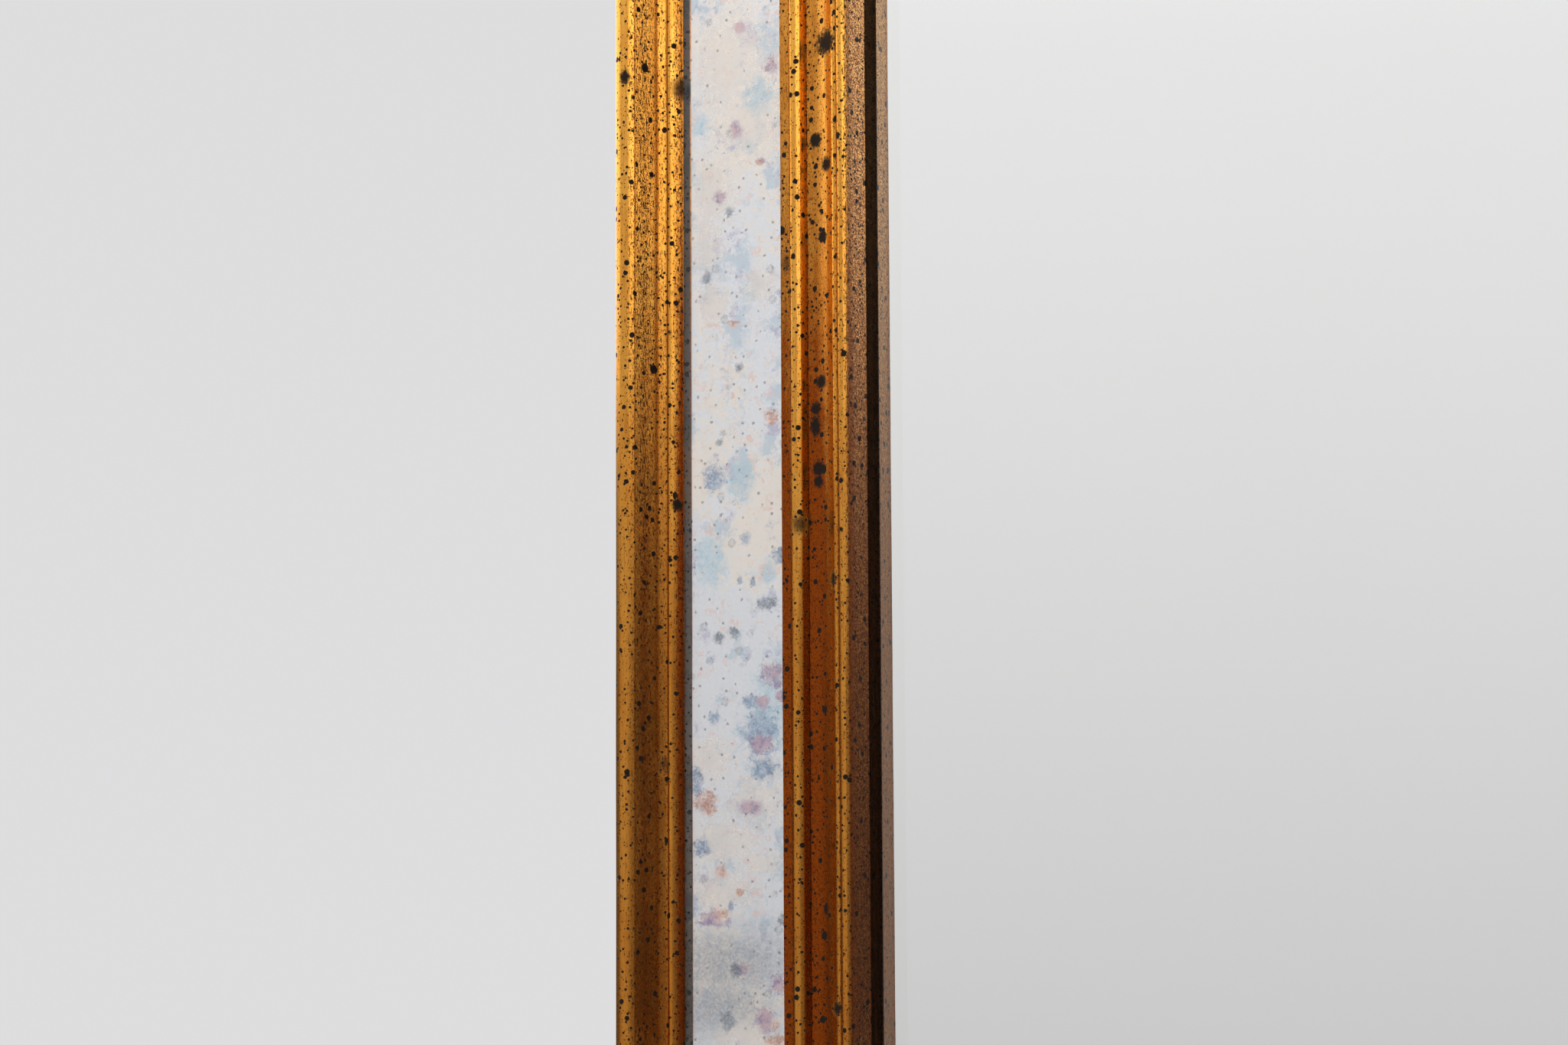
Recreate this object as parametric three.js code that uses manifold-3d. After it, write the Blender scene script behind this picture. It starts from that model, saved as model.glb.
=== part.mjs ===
// Pier mirror: a tall plate of looking-glass in a wide gilded border. Two gilded mouldings hold
// a strip of antiqued glass between them. Both are glued to a mitred softwood core frame, which
// also carries the plate, its backing board and the two ring hangers.
//
// Millimetres. +Z is up, the glass faces -Y and the wall is the plane y = 0. The origin lies on
// the wall, half way between the pivots of the two hanging rings.

import * as THREE from 'three';
import { mergeVertices } from 'three/addons/utils/BufferGeometryUtils.js';
import Module from 'manifold-3d';

const wasm = await Module();
wasm.setup();

// ---------------------------------------------------------------- driving sizes

// The whole mirror.
const mirrorWidth = 711;
const mirrorHeight = 1524;
const clearance = 0.3; // glue line, packing gap or running gap between neighbouring pieces

// The border's face, inwards from the outer edge.
const outerFace = 16;
const stripReveal = 34;
const innerFace = 26;

// Outer moulding: a high roll, a steep flank, a cove and a low bead that slopes to the strip.
const outerCrest = 18.5; // above the seat
const outerLeg = 8; // the side leg that covers the core's edge
const rollRadius = 4.2;
const rollTurn = THREE.MathUtils.degToRad(48); // how far the roll turns down past its crest
const flankDrop = 6.1;
const flankRun = 1.7;
const coveFall = 0.6; // the cove still falls a little where it meets the bead
const lowBeadWidth = 3.75;
const lowBeadShoulder = 2.8; // where the bead starts, above the lip
const lowBeadRound = 0.7; // how much rounder than a straight slope
const lowBeadSlope = 2.1; // run of the slope that closes the bead
const lowBeadQuirk = 0.5; // step from the cove up to the bead
const outerLipEdge = 0.4;

// Inner moulding: fillet, bead, two quirks, cove, sight fillet, sight roll and leaning sight wall.
const innerLipEdge = 0.9;
const filletWidth = 2.3;
const beadRadius = 2.2;
const beadStilt = 0.5;
const quirkWidth = 0.9;
const quirkDepth = 0.5;
const softQuirkDepth = 0.25; // the one at the bead's foot
const listelWidth = 0.7; // the flat between the two quirks
const coveRise = 3.1;
const sightFilletWidth = 1.75;
const sightFilletStep = 1; // from the cove's end up to the fillet
const sightFilletLean = 0.25; // run of that step
const sightFilletRise = 0.3; // across the fillet
const fineQuirkWidth = 0.6; // between the fillet and the roll
const fineQuirkDepth = 0.32;
const sightRollWidth = 3.55;
const sightRollRise = 1.3;
const sightLean = 1.1; // how far the wall leans out on its way down to the glass

// Glass.
const stripThickness = 3;
const stripTuck = 2.3; // how far the strip runs in under each lip
const plateThickness = 6;
const plateCover = 5; // how far the inner moulding laps over the plate
const plateArris = 0.6;
const blockLength = 40;
const blockThickness = 2.4; // packing between the plate's edge and the core
const blockDepth = 5;

// Core frame.
const coreThickness = 19;
const rebateWidth = 10; // the ledge that the backing board lies on
const splineThickness = 5;
const splineWidth = 20;
const splineMargin = 4; // wood left all round the spline's slot

// Backing board and its screws.
const boardThickness = 3;
const boardCornerRadius = 6;
const boardScrewShank = 3;
const boardScrewHead = 6;
const boardScrewCover = 0.8; // wood left in front of the tip
const boardScrewEndInset = 60; // first and last screw, from the ends of the rebate
const stileScrewCount = 5;
const railScrewCount = 2;

// Ring hangers.
const hangDrop = 380; // ring pivot, down from the top edge
const strapWidth = 12;
const strapThickness = 1.2;
const strapTail = 9; // from the lower screw to the strap's end
const strapEndCrown = 2.5; // how far the end is rounded
const knuckleTurn = THREE.MathUtils.degToRad(300); // how far the strap rolls round the ring
const ringWire = 3;
const ringSideGap = 0.5;
const ringCorner = 2;
const ringLeg = 6;
const hangerScrewShank = 4;
const hangerScrewHead = 8;
const hangerScrewCover = 5.5;
const hangerScrewGap = 3.5; // from the hanging ring to the upper screw's head
const hangerScrewSpacing = 18;

// Wall bumpers.
const bumperDiameter = 16;
const bumperThickness = 6.5;
const bumperTaper = 1.5;
const bumperRise = 110; // above the bottom edge

// Proportions of a pan head, as shares of its diameter.
const panHeight = 0.32;
const panFlat = 0.55;
const recessWidth = 0.5;
const recessBlade = 0.13;

// ---------------------------------------------------------------- places worked out from them

// Sections are drawn with x inwards from the mirror's outer edge and y up from the seat, which
// is the flat underside of both mouldings.
const borderWidth = outerFace + stripReveal + innerFace;
const lipUnderside = stripThickness + clearance;
const coreFront = -clearance;
const coreBack = coreFront - coreThickness;
const coreOuter = outerLeg + clearance;
const plateFront = -clearance;
const plateBack = plateFront - plateThickness;
const plateEdge = borderWidth - plateCover;
const coreInner = plateEdge - blockThickness - 2 * clearance;
const rebateEdge = coreInner - rebateWidth;
const coreMiddle = (coreOuter + rebateEdge) / 2;
const stripOuter = outerFace - stripTuck;
const stripInner = outerFace + stripReveal + stripTuck;
const boardBack = plateBack - clearance - boardThickness;
const boardEdge = rebateEdge + clearance;
const boardScrewLine = rebateEdge + rebateWidth / 2;

// Depths and heights in the mirror's own frame.
const wallDepth = -coreBack + clearance + bumperThickness; // from the wall to the seat
const yAt = (sectionHeight) => -(wallDepth + sectionHeight);
const top = hangDrop;
const bottom = hangDrop - mirrorHeight;
const middle = (top + bottom) / 2;

// The ring in its knuckle, behind the core's back.
const ringRadius = ringWire / 2;
const knuckleBore = ringRadius + clearance;
const knuckleOuter = knuckleBore + strapThickness;
const pivotOffset = clearance + knuckleOuter;
const ringHalfWidth = strapWidth / 2 + ringSideGap + ringRadius;
const ringReach = ringCorner + ringLeg + ringHalfWidth + ringRadius;
const upperScrewDrop = ringReach + hangerScrewGap + hangerScrewHead / 2;
const hangerScrewDrops = [upperScrewDrop, upperScrewDrop + hangerScrewSpacing];
const strapLength = upperScrewDrop + hangerScrewSpacing + strapTail;
const strapBack = clearance + strapThickness;

const quarterTurn = Math.PI / 2;

// ---------------------------------------------------------------- materials

const finish = (color, roughness, metalness) => (
  new THREE.MeshStandardMaterial({ color, roughness, metalness })
);
const agedGold = () => finish(0xb47d35, 0.42, 0.85);
const antiquedGlass = () => finish(0xc5c3c3, 0.18, 0.9);
const lookingGlass = () => finish(0xd8d8d6, 0.03, 1);
const softwood = () => finish(0xb8946a, 0.75, 0);
const plywood = () => finish(0xc6a67c, 0.8, 0);
const hardboard = () => finish(0x6d4a31, 0.85, 0);
const zincSteel = () => finish(0xa9abaa, 0.38, 0.95);
const blackRubber = () => finish(0x242322, 0.9, 0);

// ---------------------------------------------------------------- tools of the model

const point = (x, y) => new THREE.Vector2(x, y);

// Points on an arc. Angle 0 points up the drawing's y, and angles grow towards its x.
function arc(centre, radius, from, to, steps) {
  return Array.from({ length: steps + 1 }, (_, i) => {
    const angle = THREE.MathUtils.lerp(from, to, i / steps);
    return point(centre.x + radius * Math.sin(angle), centre.y + radius * Math.cos(angle));
  });
}

function extrude(outline, depth, curveSegments = 6) {
  const options = { depth, steps: 1, curveSegments, bevelEnabled: false };
  return new THREE.ExtrudeGeometry(outline, options);
}

// A run of moulding or board: the section goes along +Z and both ends are cut to the mitre.
function mitredRun(section, length) {
  const geometry = extrude(new THREE.Shape(section), length);
  const halfJoint = clearance * Math.SQRT1_2;
  const position = geometry.attributes.position;
  for (let i = 0; i < position.count; i += 1) {
    const inset = position.getX(i) + halfJoint;
    position.setZ(i, position.getZ(i) > length / 2 ? length - inset : inset);
  }
  return geometry;
}

const weldDistance = 1e-5;

function toSolid(geometry) {
  const bare = geometry.clone();
  bare.deleteAttribute('normal');
  bare.deleteAttribute('uv');
  const welded = mergeVertices(bare, weldDistance);
  return new wasm.Manifold(new wasm.Mesh({
    numProp: 3,
    vertProperties: welded.attributes.position.array,
    triVerts: Uint32Array.from(welded.index.array),
  }));
}

function cutAway(geometry, cutters) {
  const solid = cutters.reduce((rest, cutter) => rest.subtract(toSolid(cutter)), toSolid(geometry));
  const { vertProperties, triVerts } = solid.getMesh();
  const cut = new THREE.BufferGeometry();
  cut.setAttribute('position', new THREE.BufferAttribute(vertProperties, 3));
  cut.setIndex(new THREE.BufferAttribute(triVerts, 1));
  cut.computeVertexNormals();
  return cut;
}

// A round cutter along y.
function drill(x, z, radius, fromY, toY) {
  return new THREE.CylinderGeometry(radius, radius, toY - fromY, 12)
    .translate(x, (fromY + toY) / 2, z);
}

function addPiece(parent, name, geometry, material, position = [0, 0, 0]) {
  const mesh = new THREE.Mesh(geometry, material);
  mesh.name = name;
  mesh.position.set(...position);
  parent.add(mesh);
  return mesh;
}

// ---------------------------------------------------------------- gilded mouldings

function outerMouldingSection() {
  const rollCentre = point(rollRadius, outerCrest - rollRadius);
  const roll = arc(rollCentre, rollRadius, -quarterTurn, rollTurn, 14);
  const rollEnd = roll[roll.length - 1];
  const flankEnd = point(rollEnd.x + flankRun, rollEnd.y - flankDrop);

  const lipTop = lipUnderside + outerLipEdge;
  const beadFoot = lipTop + lowBeadShoulder;
  const beadStart = outerFace - lowBeadWidth;
  const coveFloor = beadFoot - lowBeadQuirk;
  const turnHeight = coveFloor + coveFall;
  const coveTurn = flankEnd.x + (flankEnd.y - turnHeight) * (flankRun / flankDrop);
  const cove = new THREE.QuadraticBezierCurve(
    flankEnd,
    point(coveTurn, turnHeight),
    point(beadStart, coveFloor),
  );
  const lowBead = new THREE.QuadraticBezierCurve(
    point(beadStart, beadFoot),
    point(outerFace - lowBeadSlope, beadFoot + lowBeadRound),
    point(outerFace, lipTop),
  );
  return [
    point(0, coreBack),
    ...roll,
    ...cove.getPoints(9),
    ...lowBead.getPoints(9),
    point(outerFace, lipUnderside),
    point(stripOuter - clearance, lipUnderside),
    point(stripOuter - clearance, 0),
    point(outerLeg, 0),
    point(outerLeg, coreBack),
  ];
}

function innerMouldingSection() {
  const lip = outerFace + stripReveal;
  const filletTop = lipUnderside + innerLipEdge;

  const beadStart = lip + filletWidth;
  const beadEnd = beadStart + 2 * beadRadius;
  const beadCentre = point(beadStart + beadRadius, filletTop + beadStilt);
  const bead = arc(beadCentre, beadRadius, -quarterTurn, quarterTurn, 12);
  const listelStart = beadEnd + quirkWidth;
  const listelEnd = listelStart + listelWidth;
  const coveStart = listelEnd + quirkWidth;

  // The cove leaves the quirk level, so its radius follows from its width and rise.
  const sightRollEnd = borderWidth - sightLean;
  const sightRollStart = sightRollEnd - sightRollWidth;
  const sightFilletEnd = sightRollStart - fineQuirkWidth;
  const sightFilletStart = sightFilletEnd - sightFilletWidth;
  const coveWidth = sightFilletStart - coveStart;
  const coveRadius = (coveWidth ** 2 + coveRise ** 2) / (2 * coveRise);
  const coveTurn = 2 * Math.atan(coveRise / coveWidth);
  const coveCentre = point(coveStart, filletTop + coveRadius);
  const cove = arc(coveCentre, coveRadius, Math.PI, Math.PI - coveTurn, 10);

  // A fillet steps up from the cove's end, and the sight roll springs from the fillet's height.
  const stepTop = filletTop + coveRise + sightFilletStep;
  const rollFoot = stepTop + sightFilletRise;
  const halfRoll = sightRollWidth / 2;
  const sightRollRadius = (halfRoll ** 2 + sightRollRise ** 2) / (2 * sightRollRise);
  const sightRollTurn = 2 * Math.atan(sightRollRise / halfRoll);
  const sightRollCentre = point(
    sightRollStart + halfRoll,
    rollFoot + sightRollRise - sightRollRadius,
  );
  const sightRoll = arc(sightRollCentre, sightRollRadius, -sightRollTurn, sightRollTurn, 10);

  return [
    point(lip, lipUnderside),
    point(lip, filletTop),
    point(beadStart, filletTop),
    ...bead,
    point(beadEnd, filletTop),
    point(beadEnd + quirkWidth / 2, filletTop - softQuirkDepth),
    point(listelStart, filletTop),
    point(listelEnd, filletTop),
    point(listelEnd + quirkWidth / 2, filletTop - quirkDepth),
    ...cove,
    point(sightFilletStart + sightFilletLean, stepTop),
    point(sightFilletEnd, rollFoot),
    point(sightFilletEnd + fineQuirkWidth / 2, rollFoot - fineQuirkDepth),
    ...sightRoll,
    point(borderWidth, 0),
    point(stripInner + clearance, 0),
    point(stripInner + clearance, lipUnderside),
  ];
}

// ---------------------------------------------------------------- glass

function antiquedStripSection() {
  return [
    point(stripOuter, 0),
    point(stripOuter, stripThickness),
    point(stripInner, stripThickness),
    point(stripInner, 0),
  ];
}

// The looking-glass plate, with its sharp edges ground off. Its back lies in the plane y = 0.
function plateGeometry() {
  const halfWidth = mirrorWidth / 2 - plateEdge;
  const halfHeight = mirrorHeight / 2 - plateEdge;
  const outline = new THREE.Shape([
    point(-halfWidth, -halfHeight),
    point(halfWidth, -halfHeight),
    point(halfWidth, halfHeight),
    point(-halfWidth, halfHeight),
  ]);
  const sheet = new THREE.ExtrudeGeometry(outline, {
    depth: plateThickness - 2 * plateArris,
    steps: 1,
    bevelThickness: plateArris,
    bevelSize: plateArris,
    bevelOffset: -plateArris,
    bevelSegments: 1,
  });
  return sheet.translate(0, 0, plateArris).rotateX(quarterTurn);
}

// ---------------------------------------------------------------- core frame

function coreSection() {
  return [
    point(coreOuter, coreFront),
    point(coreInner, coreFront),
    point(coreInner, plateBack),
    point(rebateEdge, plateBack),
    point(rebateEdge, coreBack),
    point(coreOuter, coreBack),
  ];
}

// A loose spline across a mitre of a core run. Its slot is the same block, grown by a fit.
function splineGeometry(fit = 0, runLength = 0) {
  const length = (rebateEdge - coreOuter - 2 * splineMargin) * Math.SQRT2 - splineWidth;
  const block = new THREE.BoxGeometry(
    splineWidth + 2 * fit,
    splineThickness + 2 * fit,
    length + 2 * fit,
  );
  const atFarEnd = runLength > 0;
  block.rotateY(atFarEnd ? -Math.PI / 4 : Math.PI / 4);
  const along = atFarEnd ? runLength - coreMiddle : coreMiddle;
  return block.translate(coreMiddle, (coreFront + coreBack) / 2, along);
}

const boardScrewSeat = boardBack - clearance;
const boardScrewLength = coreFront - boardScrewCover - boardScrewSeat;
const hangerScrewSeat = strapBack + clearance;
const hangerScrewLength = coreThickness - hangerScrewCover + hangerScrewSeat;

// One board of the core, with its spline slots and a pilot hole for each screw.
function coreGeometry(length, boardScrews, hangerScrews) {
  const boardHoles = boardScrews.map((along) => drill(
    boardScrewLine,
    along,
    boardScrewShank / 2 + clearance,
    coreBack,
    coreFront - boardScrewCover + clearance,
  ));
  const hangerHoles = hangerScrews.map((along) => drill(
    coreMiddle,
    along,
    hangerScrewShank / 2 + clearance,
    coreBack - clearance,
    coreFront - hangerScrewCover + clearance,
  ));
  return cutAway(mitredRun(coreSection(), length), [
    splineGeometry(clearance),
    splineGeometry(clearance, length),
    ...boardHoles,
    ...hangerHoles,
  ]);
}

// ---------------------------------------------------------------- screws and backing board

// A pan-head screw along y, with the head's underside at 0 and the tip at its length.
function screwGeometry(shank, head, length) {
  const height = head * panHeight;
  const shankRadius = shank / 2;
  const headRadius = head / 2;
  const body = new THREE.LatheGeometry([
    point(0, -height),
    point(headRadius * panFlat, -height),
    point(headRadius, -height * panFlat),
    point(headRadius, 0),
    point(shankRadius, 0),
    point(shankRadius, length - shank),
    point(0, length),
  ], 10);
  const blade = (turn) => (
    new THREE.BoxGeometry(head * recessWidth, height, head * recessBlade)
      .rotateY(turn)
      .translate(0, -height, 0)
  );
  return cutAway(body, [blade(0), blade(quarterTurn)]);
}

function roundedRectangle(width, height, radius) {
  const x = width / 2 - radius;
  const y = height / 2 - radius;
  const outline = new THREE.Shape();
  outline.absarc(x, -y, radius, -quarterTurn, 0);
  outline.absarc(x, y, radius, 0, quarterTurn);
  outline.absarc(-x, y, radius, quarterTurn, Math.PI);
  outline.absarc(-x, -y, radius, Math.PI, 3 * quarterTurn);
  return outline;
}

// The backing board, with a hole for each screw. Its back lies in the plane y = 0.
function boardGeometry(screwCentres) {
  const outline = roundedRectangle(
    mirrorWidth - 2 * boardEdge,
    mirrorHeight - 2 * boardEdge,
    boardCornerRadius,
  );
  outline.holes = screwCentres.map(({ x, z }) => (
    new THREE.Path().absarc(x, z - middle, boardScrewShank / 2 + clearance, 0, 2 * Math.PI, true)
  ));
  return extrude(outline, boardThickness, 4).rotateX(quarterTurn);
}

// ---------------------------------------------------------------- ring hangers and bumpers

// A hanger's frame: x across it, y back from the core, z up from the ring's pivot.
function strapGeometry() {
  const pivot = point(pivotOffset, 0);
  const rollEnd = knuckleTurn - quarterTurn;
  const sideView = new THREE.Shape([
    point(clearance, -strapLength),
    ...arc(pivot, knuckleOuter, -quarterTurn, rollEnd, 22),
    ...arc(pivot, knuckleBore, rollEnd, -quarterTurn, 22),
    point(strapBack, -strapLength),
  ]);
  const toHangerFrame = new THREE.Matrix4().makeBasis(
    new THREE.Vector3(0, 1, 0),
    new THREE.Vector3(0, 0, 1),
    new THREE.Vector3(1, 0, 0),
  );
  const strap = extrude(sideView, strapWidth)
    .translate(0, 0, -strapWidth / 2)
    .applyMatrix4(toHangerFrame);

  // The lower end is rounded by a cutter that leaves a crowned outline.
  const half = strapWidth / 2;
  const endRadius = (half ** 2 + strapEndCrown ** 2) / (2 * strapEndCrown);
  const endTurn = 2 * Math.atan(strapEndCrown / half);
  const endCentre = point(0, endRadius - strapLength);
  const crown = arc(endCentre, endRadius, Math.PI - endTurn, Math.PI + endTurn, 8);
  const shoulder = strapEndCrown - strapLength;
  const waste = new THREE.Shape([
    ...crown,
    point(-strapWidth, shoulder),
    point(-strapWidth, -strapLength - strapWidth),
    point(strapWidth, -strapLength - strapWidth),
    point(strapWidth, shoulder),
  ]);
  const endCutter = extrude(waste, 2 * pivotOffset)
    .rotateX(quarterTurn)
    .translate(0, pivotOffset, 0);

  const holes = hangerScrewDrops.map((drop) => (
    drill(0, -drop, hangerScrewShank / 2 + clearance, 0, pivotOffset)
  ));
  return cutAway(strap, [endCutter, ...holes]);
}

// A round wire in a closed loop: a straight bar, two small corners, two legs and half a circle.
function ringGeometry() {
  const sides = 8;
  const cornerX = ringHalfWidth - ringCorner;
  const bends = [
    { centre: point(cornerX, -ringCorner), radius: ringCorner, from: 0, turn: 1, steps: 3 },
    { centre: point(0, -ringCorner - ringLeg), radius: ringHalfWidth, from: 1, turn: 2, steps: 12 },
    { centre: point(-cornerX, -ringCorner), radius: ringCorner, from: 3, turn: 1, steps: 3 },
  ];
  const stations = bends.flatMap(({ centre, radius, from, turn, steps }) => (
    Array.from({ length: steps + 1 }, (_, i) => {
      const angle = (from + (turn * i) / steps) * quarterTurn;
      const outward = point(Math.sin(angle), Math.cos(angle));
      return { outward, place: outward.clone().multiplyScalar(radius).add(centre) };
    })
  ));
  const positions = stations.flatMap(({ place, outward }) => (
    Array.from({ length: sides }, (_, k) => {
      const angle = ((k + 0.5) / sides) * 2 * Math.PI;
      const out = ringRadius * Math.cos(angle);
      return [place.x + out * outward.x, ringRadius * Math.sin(angle), place.y + out * outward.y];
    }).flat()
  ));
  const indices = stations.flatMap((_, i) => (
    Array.from({ length: sides }, (__, k) => {
      const here = i * sides;
      const next = ((i + 1) % stations.length) * sides;
      const after = (k + 1) % sides;
      return [here + k, next + k, here + after, here + after, next + k, next + after];
    }).flat()
  ));
  const geometry = new THREE.BufferGeometry();
  geometry.setAttribute('position', new THREE.Float32BufferAttribute(positions, 3));
  geometry.setIndex(indices);
  geometry.computeVertexNormals();
  return geometry;
}

// A rubber foot on the core's back, a little narrower where it meets the wall.
function bumperGeometry() {
  const radius = bumperDiameter / 2;
  return new THREE.LatheGeometry([
    point(0, 0),
    point(radius, 0),
    point(radius, bumperThickness / 2),
    point(radius - bumperTaper, bumperThickness),
    point(0, bumperThickness),
  ], 20);
}

// ---------------------------------------------------------------- assembly

const pierMirror = new THREE.Group();

// Each side's frame has x inwards, y to the front and z along the side from one corner.
const sides = [
  { name: 'left', board: 'stile', corner: [-1, top], turn: 0, splineName: 'top_left' },
  { name: 'bottom', board: 'rail', corner: [-1, bottom], turn: -1, splineName: 'bottom_left' },
  { name: 'right', board: 'stile', corner: [1, bottom], turn: 2, splineName: 'bottom_right' },
  { name: 'top', board: 'rail', corner: [1, top], turn: 1, splineName: 'top_right' },
];

function boardScrewPlaces(length, count) {
  const first = rebateEdge + boardScrewEndInset;
  return Array.from({ length: count }, (_, i) => (
    THREE.MathUtils.lerp(first, length - first, i / (count - 1))
  ));
}

// The hangers' screws, along a stile whose frame starts at the top or at the bottom.
function hangerScrewPlaces({ board, corner }) {
  if (board === 'rail') return [];
  return hangerScrewDrops.map((drop) => Math.abs(corner[1] + drop));
}

const screwCentres = [];
for (const side of sides) {
  const { name, board, corner, turn, splineName } = side;
  const isStile = board === 'stile';
  const length = isStile ? mirrorHeight : mirrorWidth;
  const frame = new THREE.Group();
  frame.position.set((corner[0] * mirrorWidth) / 2, yAt(0), corner[1]);
  frame.rotation.set(Math.PI, turn * quarterTurn, 0, 'YXZ');
  pierMirror.add(frame);
  frame.updateMatrixWorld();

  const boardScrews = boardScrewPlaces(length, isStile ? stileScrewCount : railScrewCount);
  const core = coreGeometry(length, boardScrews, hangerScrewPlaces(side));
  addPiece(frame, `core_${board}_${name}`, core, softwood());
  addPiece(frame, `corner_spline_${splineName}`, splineGeometry(), plywood());

  const outerRun = mitredRun(outerMouldingSection(), length);
  addPiece(frame, `outer_moulding_${name}`, outerRun, agedGold());
  const stripRun = mitredRun(antiquedStripSection(), length);
  addPiece(frame, `antiqued_strip_${name}`, stripRun, antiquedGlass());
  const innerRun = mitredRun(innerMouldingSection(), length);
  addPiece(frame, `inner_moulding_${name}`, innerRun, agedGold());

  // Rubber blocks pack the plate at the quarter points of each edge.
  [length / 4, (3 * length) / 4].forEach((along, i) => {
    const block = new THREE.BoxGeometry(blockThickness, blockDepth, blockLength);
    const across = coreInner + clearance + blockThickness / 2;
    const place = [across, (plateFront + plateBack) / 2, along];
    addPiece(frame, `glass_block_${name}_${i + 1}`, block, blackRubber(), place);
  });

  boardScrews.forEach((along, i) => {
    const place = [boardScrewLine, boardScrewSeat, along];
    const screw = screwGeometry(boardScrewShank, boardScrewHead, boardScrewLength);
    addPiece(frame, `board_screw_${name}_${i + 1}`, screw, zincSteel(), place);
    screwCentres.push(frame.localToWorld(new THREE.Vector3(...place)));
  });
}

addPiece(pierMirror, 'mirror_plate', plateGeometry(), lookingGlass(), [0, yAt(plateBack), middle]);
const board = boardGeometry(screwCentres);
addPiece(pierMirror, 'backing_board', board, hardboard(), [0, yAt(boardBack), middle]);

for (const [name, x] of [['left', coreMiddle], ['right', mirrorWidth - coreMiddle]]) {
  const hanger = new THREE.Group();
  hanger.position.set(x - mirrorWidth / 2, yAt(coreBack), 0);
  pierMirror.add(hanger);
  addPiece(hanger, `hanger_strap_${name}`, strapGeometry(), zincSteel());
  addPiece(hanger, `hanger_ring_${name}`, ringGeometry(), zincSteel(), [0, pivotOffset, 0]);
  hangerScrewDrops.forEach((drop, i) => {
    const screw = screwGeometry(hangerScrewShank, hangerScrewHead, hangerScrewLength);
    const place = [0, hangerScrewSeat, -drop];
    const piece = addPiece(hanger, `hanger_screw_${name}_${i + 1}`, screw, zincSteel(), place);
    piece.rotation.x = Math.PI;
  });
  const bumperPlace = [0, clearance, bottom + bumperRise];
  addPiece(hanger, `wall_bumper_${name}`, bumperGeometry(), blackRubber(), bumperPlace);
}

export default pierMirror;
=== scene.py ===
"""A tall pier mirror: two gilded mouldings with a strip of antiqued mirror glass between them, glued to a
softwood core that holds the looking-glass plate, a hardboard back, ring hangers and wall bumpers."""

import math

import bpy
from mathutils import Matrix, Vector


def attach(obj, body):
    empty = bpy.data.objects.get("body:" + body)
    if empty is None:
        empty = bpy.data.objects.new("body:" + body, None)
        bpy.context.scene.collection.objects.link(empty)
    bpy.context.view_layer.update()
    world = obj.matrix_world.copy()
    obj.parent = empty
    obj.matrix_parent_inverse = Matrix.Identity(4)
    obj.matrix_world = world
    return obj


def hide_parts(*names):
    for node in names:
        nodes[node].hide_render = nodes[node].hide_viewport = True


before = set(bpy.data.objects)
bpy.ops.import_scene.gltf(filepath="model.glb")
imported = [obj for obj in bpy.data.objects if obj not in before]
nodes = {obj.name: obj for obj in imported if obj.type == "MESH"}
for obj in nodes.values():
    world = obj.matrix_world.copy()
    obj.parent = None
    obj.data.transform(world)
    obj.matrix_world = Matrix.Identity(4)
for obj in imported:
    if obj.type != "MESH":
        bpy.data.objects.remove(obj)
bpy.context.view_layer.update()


# ---------------------------------------------------------------- core frame
# The core is four lengths of planed pine, mitred at the corners and rebated for the back. Everything
# else is glued or screwed to it, and only its edges and its back show.

MM = 0.001


class Recipe:
    """Adds shader nodes to one material or effect and gives back their sockets."""

    def __init__(self, tree):
        self.tree = tree

    def set(self, socket, value):
        if isinstance(value, bpy.types.NodeSocket):
            self.tree.links.new(value, socket)
        elif isinstance(value, tuple) and socket.type == "RGBA" and len(value) == 3:
            socket.default_value = (*value, 1)
        elif value is not None:
            socket.default_value = value

    def add(self, kind, inputs=(), output=0, **settings):
        node = self.tree.nodes.new("ShaderNode" + kind)
        for name, value in settings.items():
            setattr(node, name, value)
        for key, value in inputs.items() if isinstance(inputs, dict) else enumerate(inputs):
            self.set(node.inputs[key], value)
        return node.outputs[output]

    def maths(self, operation, *values):
        return self.add("Math", values, operation=operation)

    def soft_step(self, value, start, end, low=0.0, high=1.0):
        return self.add("MapRange", (value, start, end, low, high), interpolation_type="SMOOTHSTEP")

    def blend(self, share, first, second, how="MIX"):
        inputs = {0: share, 6: first, 7: second}
        return self.add("Mix", inputs, output=2, data_type="RGBA", blend_type=how)

    def stretched(self, vector, scale):
        return self.add("VectorMath", {0: vector, 1: scale}, operation="MULTIPLY")

    def noise(self, vector, scale, detail=2.0, roughness=0.5, distortion=0.0):
        inputs = {"Vector": vector, "Scale": scale, "Detail": detail, "Roughness": roughness,
                  "Distortion": distortion}
        return self.add("TexNoise", inputs)

    def effect(self, group, **inputs):
        node = self.tree.nodes.new("ShaderNodeGroup")
        node.node_tree = group
        for name, value in inputs.items():
            self.set(node.inputs[name.replace("_", " ").capitalize()], value)
        return node.outputs


def new_material(name, **values):
    """A material, its recipe and its Principled shader, with plain values set on the shader."""
    material = bpy.data.materials.new(name)
    material.use_nodes = True
    shader = material.node_tree.nodes["Principled BSDF"]
    recipe = Recipe(material.node_tree)
    for socket, value in values.items():
        recipe.set(shader.inputs[socket.replace("_", " ")], value)
    return material, recipe, shader


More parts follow.
